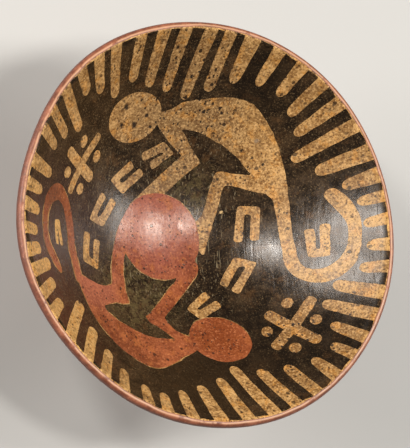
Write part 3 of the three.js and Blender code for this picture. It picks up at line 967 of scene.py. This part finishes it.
# Worn and burnt marks seen on the bowl, [x, y, radius]
cream_marks = [
    [-28.6, 58.5, 1.4], [-21.8, 51.9, 1.6], [-29, 50.9, 1.1], [-20.9, 62.1, 0.8],
    [14.6, 60.3, 0.8], [21.3, 59, 0.8], [34.1, 42.9, 0.8], [39.2, 39.4, 0.8],
    [44.1, 36.4, 0.7], [25.3, 30.6, 0.8], [38.1, 35.5, 0.5], [-30.8, 80.2, 0.6],
    [12.9, -86.9, 0.8], [-10.3, 83.5, 0.8], [-36.4, 10.1, 0.6], [-34.2, -81.3, 0.6],
]
grey_marks = [[39.8, 46.8, 1.1], [-37.9, 57.7, 1]]
red_marks = [
    [-16.9, -56.8, 1.1], [12.6, -45.4, 0.7], [6.9, -50, 0.8], [-24, -48.2, 0.7],
    [-3.3, -48.2, 0.6], [-38.9, -40.9, 0.5], [-37.9, -26.4, 0.5], [-45.2, -25.1, 0.5],
    [-19.4, -52.7, 0.5], [-29.7, -48, 0.6], [-31.9, -41.8, 0.5], [-25.8, -57.6, 0.6],
    [7, 4.1, 0.6], [12.1, 3.1, 0.4], [0.9, -7.1, 0.6], [10.2, -9.7, 0.6],
    [-15.9, 6.7, 0.6], [22.9, -52.8, 0.7], [13.3, -51.6, 0.6], [19, -41.4, 0.4],
]
chips = [[28.3, 15.3, 0.8]]


def cream_slip():
    look = Look("cream_slip")
    tone = look.noise(6, 4, 0.65, seed=1)
    look.patches("light", 1, tone, 0.38, 0.62)
    # Painted light: paler patches on the left and right sides of the wall and towards the bottom.
    look.clouds("pale", 0.6, [[-80, -5, 30], [-66, -52, 22], [80, 0, 18], [62, -24, 14]], 20)
    # Painted shade: a greyer, darker patch over the cream monkey's back and head.
    look.clouds("grey", 0.65, [[2, 56, 34]], 22)
    look.patches("stain", 0.55, look.noise(9, 4, 0.7, seed=4), 0.5, 0.66)
    # Painted shade: a dark brown patch towards the lower right of the face.
    look.clouds("painted_shade", 0.75, [[46, -44, 32]], 18)
    look.patches("golden", 0.6, look.noise(5, 3, 0.6, seed=5), 0.52, 0.66)
    grain = look.noise(1.1, 4, 0.75, seed=6)
    look.patches("light_grain", 0.8, grain, 0.51, 0.66)
    look.patches("dark_grain", 0.9, grain, 0.49, 0.37)
    look.patches("scuff", 0.5, look.noise(1.2, 3, 0.7, (1, 0.12, 1), 8, 3), 0.56, 0.68)
    crowd = look.ramp(look.noise(13, 2, 0.5, seed=9), 0.38, 0.6, 0.25, 0.8)
    for x, y, radius in [[0, 62, 40], [44, -50, 32]]:
        crowd = look.most(crowd, look.cloud(x, y, radius, 35))
    specks = look.most(look.specks(1.9, 0.55, 0.6, 7), look.specks(3.6, 1, 0.55, 8))
    specks = look.most(look.product(specks, crowd), look.spots(cream_marks, 10))
    look.paint("speck", specks, 0.95)
    look.paint("grey_mark", look.spots(grey_marks, 11), 0.6)
    lip = look.lip()
    roughness = look.number("ADD", look.roughness(tone, 0.36, 0.48), look.product(lip, 0.2))
    look.burnish(0.015, 0.014, 0.1)
    look.pit(specks)
    return look.finish(roughness, look.ramp(lip, 0, 1, 0.45, 0.15))


def red_paint():
    look = Look("red_paint")
    tone = look.noise(8, 3, 0.6, seed=11)
    look.patches("light", 1, tone, 0.36, 0.64)
    # Partly the paint's own tone and partly a painted sheen: a rosy patch over the disc, strongest on
    # its upper side.
    look.clouds("rosy", 0.85, [[-2.8, 8, 26]], 15)
    look.patches("warm", 0.55, look.noise(4.5, 3, 0.6, seed=16), 0.52, 0.68)
    # Painted shade: darker brown patches on the red monkey's head and tail.
    look.clouds("brown", 0.75, [[22, -48, 16], [-66, 0, 20]], 18)
    look.clouds("pink", 0.6, [[-40, -22, 15]], 39)
    look.clouds("patchy", 0.6, [[-69, 13, 9]], 37)
    grain = look.noise(1, 4, 0.75, seed=12)
    look.patches("light_grain", 0.65, grain, 0.52, 0.7)
    look.patches("dark_grain", 0.7, grain, 0.48, 0.34)
    specks = look.most(look.specks(1.9, 0.45, 0.5, 13), look.specks(5, 0.8, 0.45, 14))
    specks = look.most(specks, look.spots(red_marks, 17))
    look.paint("speck", specks, 0.82)
    look.burnish(0.03, 0.02, 0.2)
    look.pit(specks)
    return look.finish(look.roughness(tone, 0.22, 0.34), tint=(1, 0.9, 0.8))


def dark_coat():
    look = Look("dark_coat")
    tone = look.noise(8, 4, 0.65, seed=21)
    look.patches("light", 1, tone, 0.38, 0.66)
    look.patches("brown", 0.5, look.noise(6, 3, 0.6, seed=23), 0.54, 0.7)
    mottle = look.ramp(look.noise(2.6, 3, 0.7, seed=38), 0.42, 0.6)
    for x, y, radius in [[-16, -21, 26], [8, 24, 16]]:
        look.paint("olive", look.product(look.cloud(x, y, radius, 26), mottle), 0.7)
    look.clouds("purple", 0.65, [[-62, 0, 34]], 27)
    grain = look.noise(0.9, 4, 0.78, seed=24)
    look.patches("light_grain", 0.6, grain, 0.53, 0.74)
    look.patches("dark_grain", 0.75, grain, 0.48, 0.34)
    look.paint("dust", look.specks(1.4, 0.3, 0.4, 28), 0.4)
    # Painted shade: near-black patches towards the lower right, the bottom and the upper right of the
    # face.
    painted_shade_places = [[30, -54, 34], [-5, -73, 28], [68, -48, 18], [34, 72, 15]]
    look.clouds("painted_shade", 0.6, painted_shade_places, 19)
    scratch = look.ramp(look.noise(0.9, 2, 0.6, (1, 0.04, 1), 24, 25), 0.62, 0.7)
    look.paint("scratch", look.product(scratch, look.cloud(0, 10, 52, 29)), 0.55)
    look.paint("chip", look.spots(chips, 30))
    lip = look.lip()
    roughness = look.number("ADD", look.roughness(tone, 0.19, 0.29), look.product(lip, 0.3))
    dull = look.most(look.product(look.cloud(-34, 8, 16, 36), 0.5), lip)
    specular = look.ramp(dull, 0, 1, 0.5, 0.04, "LINEAR")
    look.burnish(0.042, 0.03, 0.12)
    return look.finish(roughness, specular, (1, 0.94, 0.89))


def red_rim():
    """The band's paint, by the place across it that its mesh carries from 0 to 1."""
    look = Look("red_rim")
    across = look.add("ShaderNodeAttribute", attribute_name="across").outputs["Fac"]
    tone = look.noise(6, 4, 0.65, seed=31)
    look.patches("light", 1, tone, 0.35, 0.65)
    # Painted shade: the band darkens across the lip towards its outer side, which faces down and away
    # from the lamps.
    look.patches("painted_shade_outer_side", 0.85, across, 0.2, 0.5)
    grain = look.noise(0.7, 3, 0.7, seed=32)
    look.patches("dark_grain", 0.6, grain, 0.46, 0.26)
    look.patches("light_grain", 0.5, grain, 0.55, 0.78)
    look.patches("dirt", 0.5, look.noise(3.5, 3, 0.6, seed=33), 0.54, 0.7)
    # Painted highlight: a light line along the band's inner edge, where the lip's crest catches the
    # lamps, broken into patches by a noise.
    line = look.product(look.ramp(across, 0.03, 0.08), look.ramp(across, 0.2, 0.1))
    patchy = look.ramp(look.noise(5, 3, 0.6, seed=34), 0.3, 0.46)
    look.paint("painted_highlight", look.product(line, patchy), 0.7)
    look.burnish(0.01, 0.014, 0.06)
    return look.finish(look.roughness(tone, 0.4, 0.54))


def clay():
    look = Look("clay")
    tone = look.noise(26, 4, 0.6, seed=41)
    look.patches("light", 1, tone, 0.35, 0.65)
    look.patches("cloud", 0.7, look.noise(38, 3, 0.6, seed=42), 0.56, 0.74)
    streak = look.noise(1.3, 3, 0.6, (0.25, 0.25, 1), 0, 43)
    look.patches("streak", 0.35, streak, 0.55, 0.75)
    grain = look.noise(0.7, 3, 0.65, seed=44)
    look.patches("grain", 0.5, grain, 0.45, 0.25)
    small = look.specks(2.4, 0.7, 0.6, 45, "3D")
    specks = look.most(small, look.specks(7, 2, 0.5, 46, "3D"))
    look.paint("speck", specks, 0.75)
    look.bump(streak, 0.03)
    look.bump(grain, 0.02)
    look.pit(specks)
    return look.finish(look.roughness(tone, 0.42, 0.6))


# Each material is named like its maker and like the slot that it fills.
makers = (clay, cream_slip, red_paint, red_rim, dark_coat)
materials = {make.__name__: make() for make in makers}

slip_steps = 49
slip_bend_steps = 24
band_lip_steps = 22
band_drop_steps = 8
# The band's paint builds up over a third of the lip, and thins out at its lower end.
band_build_up = 3
band_end_bluntness = 6


def ring_piece(node, finish, profile, slot):
    points, faces = ring(profile)
    return new_piece(node, finish, shaped(points), faces, slot)


def clay_piece(node, profile):
    ring_piece(node, "fired", lambda bearing: profile, "clay")


def slip_profile(bearing):
    edge = paint_edge(bearing)
    bend = inner_edge - face_spacing
    near, far = np.linspace(0, bend, slip_steps + 1), np.linspace(bend, edge, slip_bend_steps + 1)
    stations = np.concatenate([near, far[1:]])
    heights = clay_height(stations, np.zeros(len(stations)))
    under = list(zip(stations, heights))
    over = list(zip(stations, heights + slip_skin))
    return over + under[::-1]


def band_profile(bearing):
    """Section of the band: from the painted face over the lip and down the outside."""
    start = math.acos((paint_edge(bearing) - lip_r) / lip_radius)
    top, foot = on_lip(lip_outside), outer(inner_edge - rim_coil_width / 2)
    slant = math.atan2(foot[1] - top[1], foot[0] - top[0])

    def over_lip(share):
        skin = slip_skin + paint_skin
        skin += (band_skin - skin) * min(1, share * band_build_up)
        return on_lip(start + (lip_outside - start) * share, lip_radius + skin)

    def down_side(share, skin=0):
        along = band_drop * share
        r = top[0] + along * math.cos(slant) - skin * math.sin(slant)
        return r, top[1] + along * math.sin(slant) + skin * math.cos(slant)

    def down_over(share):
        return down_side(share, band_skin * (1 - share**band_end_bluntness))

    over = run(over_lip, 0, 1, band_lip_steps) + run(down_over, 0, 1, band_drop_steps)[1:]
    under = run(on_lip, start, lip_outside, band_lip_steps)
    return over + (under + run(down_side, 0, 1, band_drop_steps)[1:-1])[::-1]


def add_band():
    band = ring_piece("red_rim_band", "painted", band_profile, "red_rim")
    last = band_lip_steps + band_drop_steps
    section = [min(i, 2 * last - i) / last for i in range(2 * last + 1)]
    across = band.data.attributes.new("across", "FLOAT", "POINT")
    across.data.foreach_set("value", section * turns)


def coat_piece(node, chosen, slot):
    """A thin closed coat over the chosen triangles of the painted face."""
    used, local = np.unique(chosen, return_inverse=True)
    top = [tuple(t) for t in local.reshape(-1, 3).tolist()]
    count = len(used)
    sides = {(t[i], t[(i + 1) % 3]) for t in top for i in range(3)}
    faces = top + [tuple(i + count for i in t[::-1]) for t in top]
    faces += [(b, a, a + count, b + count) for a, b in sorted(sides) if (b, a) not in sides]
    lifts = (slip_skin + paint_skin, slip_skin)
    points = np.vstack([coat_points(plan[used], lift) for lift in lifts])
    piece = new_piece(node, "brushed", points, faces, slot)
    up = coat_normals(plan[used])
    piece.data.normals_split_custom_set_from_vertices(np.vstack([up, -up]))


# The clay, from the floor out to the rim and down to the foot
clay_piece("floor_disc", floor_profile())
for index in range(wall_coils):
    clay_piece(f"wall_coil_{index + 1}", wall_coil_profile(index))
clay_piece("rim_coil", rim_coil_profile())
clay_piece("foot_upper_coil", foot_upper_profile())
clay_piece("foot_base_coil", foot_base_profile())
clay_piece("foot_luting_coil", luting_profile())

ring_piece("cream_slip_coat", "smooth", slip_profile, "cream_slip")
add_band()

# Which paint each triangle of the face carries, by where its middle lies
outlines = figure_outlines()
plan, triangles = divided_face([loop for group in outlines.values() for loop in group])
centres = plan[triangles].mean(1)
bearings = np.arctan2(centres[:, 1], centres[:, 0])
from_axis = np.hypot(*centres.T)
on_face = from_axis < paint_edge(bearings)
short_of_line = from_axis < dark_edge(bearings)
in_disc = within(outlines["disc"], centres) & on_face
in_red = within(outlines["red"], centres) & on_face & ~in_disc
in_cream = within(outlines["halo"] + outlines["cream"] + outlines["pattern"], centres)
is_dark = short_of_line & ~in_disc & ~in_red & ~in_cream

# The dark coat's two closed gaps, each found by a point in it, and the field round them
gap_seeds = {"dark_coat_upper_gap": [14, 30], "dark_coat_lower_gap": [-12, -27]}
dark_triangles = triangles[is_dark]
dark_centres = centres[is_dark]
areas = joined_areas(dark_triangles)
in_field = np.ones(len(dark_triangles), bool)
for node, seed in gap_seeds.items():
    nearest = np.argmin(np.hypot(*(dark_centres - seed).T))
    in_gap = areas == areas[nearest]
    in_field &= ~in_gap
    coat_piece(node, dark_triangles[in_gap], "dark_coat")
coat_piece("dark_coat_field", dark_triangles[in_field], "dark_coat")
coat_piece("red_disc", triangles[in_disc], "red_paint")
coat_piece("red_monkey", triangles[in_red], "red_paint")


# Stage: a pale floor, a camera at the photograph's angle and soft lamps
floor_half = 4
floor_roughness = 0.8


def add_floor():
    """The floor, which is clear from below, so that the foot can be seen."""
    mesh = bpy.data.meshes.new("floor")
    corners = [(-1, -1), (1, -1), (1, 1), (-1, 1)]
    mesh.from_pydata([(x * floor_half, y * floor_half, 0) for x, y in corners], [], [range(4)])
    look = Look("pale_floor")
    feeds = {"Base Color": look.color, "Roughness": floor_roughness}
    paint = look.add("ShaderNodeBsdfPrincipled", feeds).outputs[0]
    clear = look.add("ShaderNodeBsdfTransparent").outputs[0]
    below = look.add("ShaderNodeNewGeometry").outputs["Backfacing"]
    either = look.add("ShaderNodeMixShader", {0: below, 1: paint, 2: clear})
    mesh.materials.append(look.output(either.outputs[0]))
    placed("floor", mesh)


# The camera's own axes, and where the rim's middle lies in the picture, in its pixels
camera_right = Vector((0.9053, -0.0401, 0.4228))
camera_up = Vector((-0.0440, 0.9813, 0.1872))
camera_back = Vector((-0.4224, -0.1881, 0.8867))
camera_distance = 1.5833
camera_lens = 277.6
sensor_width = 36
rim_centre = Vector((0, 0, lip_z * MM))
picture_long_side = 448
right_of_middle = 5.5
above_middle = 1.1


def add_camera():
    data = bpy.data.cameras.new("camera")
    data.lens = camera_lens
    data.sensor_width = sensor_width
    data.shift_x = -right_of_middle / picture_long_side
    data.shift_y = -above_middle / picture_long_side
    data.clip_start = 0.1
    data.clip_end = 20
    camera = placed("camera", data)
    turn = Matrix((camera_right, camera_up, camera_back)).transposed().to_4x4()
    camera.matrix_world = Matrix.Translation(rim_centre + camera_back * camera_distance) @ turn
    bpy.context.scene.camera = camera


# Each lamp is [direction from the rim's middle, distance, its two widths, power].
warm_light = (1, 0.98, 0.95)
lamps = {
    "right_high": [(0.52, 0.02, 0.85), 1.8, (0.34, 0.52), 16.5],
    "left_high": [(-0.62, 0.25, 0.74), 1.6, (0.2, 0.26), 8.5],
    "above": [(0.11, -0.07, 0.99), 1.8, (0.2, 0.3), 10.5],
    "left_low_back": [(-0.78, 0.45, 0.4), 1.7, (0.5, 0.5), 12],
    "left_low": [(-0.9, 0.1, 0.4), 1.7, (0.5, 0.5), 12],
    "right_low": [(0.85, 0, 0.5), 1.7, (0.5, 0.5), 9],
}
world_strength = 0.06


def softbox(name, towards, distance, size, power):
    data = bpy.data.lights.new(name, "AREA")
    data.shape = "ELLIPSE"
    data.size, data.size_y = size
    data.energy = power
    data.color = warm_light
    lamp = placed(name, data)
    direction = Vector(towards).normalized()
    lamp.location = rim_centre + direction * distance
    lamp.rotation_euler = direction.to_track_quat("Z", "Y").to_euler()


def add_world():
    world = bpy.data.worlds.new("studio")
    bpy.context.scene.world = world
    world.use_nodes = True
    background = world.node_tree.nodes["Background"]
    background.inputs["Color"].default_value = (*warm_light, 1)
    background.inputs["Strength"].default_value = world_strength


add_floor()
add_camera()
add_world()
for name, lamp in lamps.items():
    softbox(name, *lamp)
bpy.context.scene.view_settings.view_transform = "Standard"
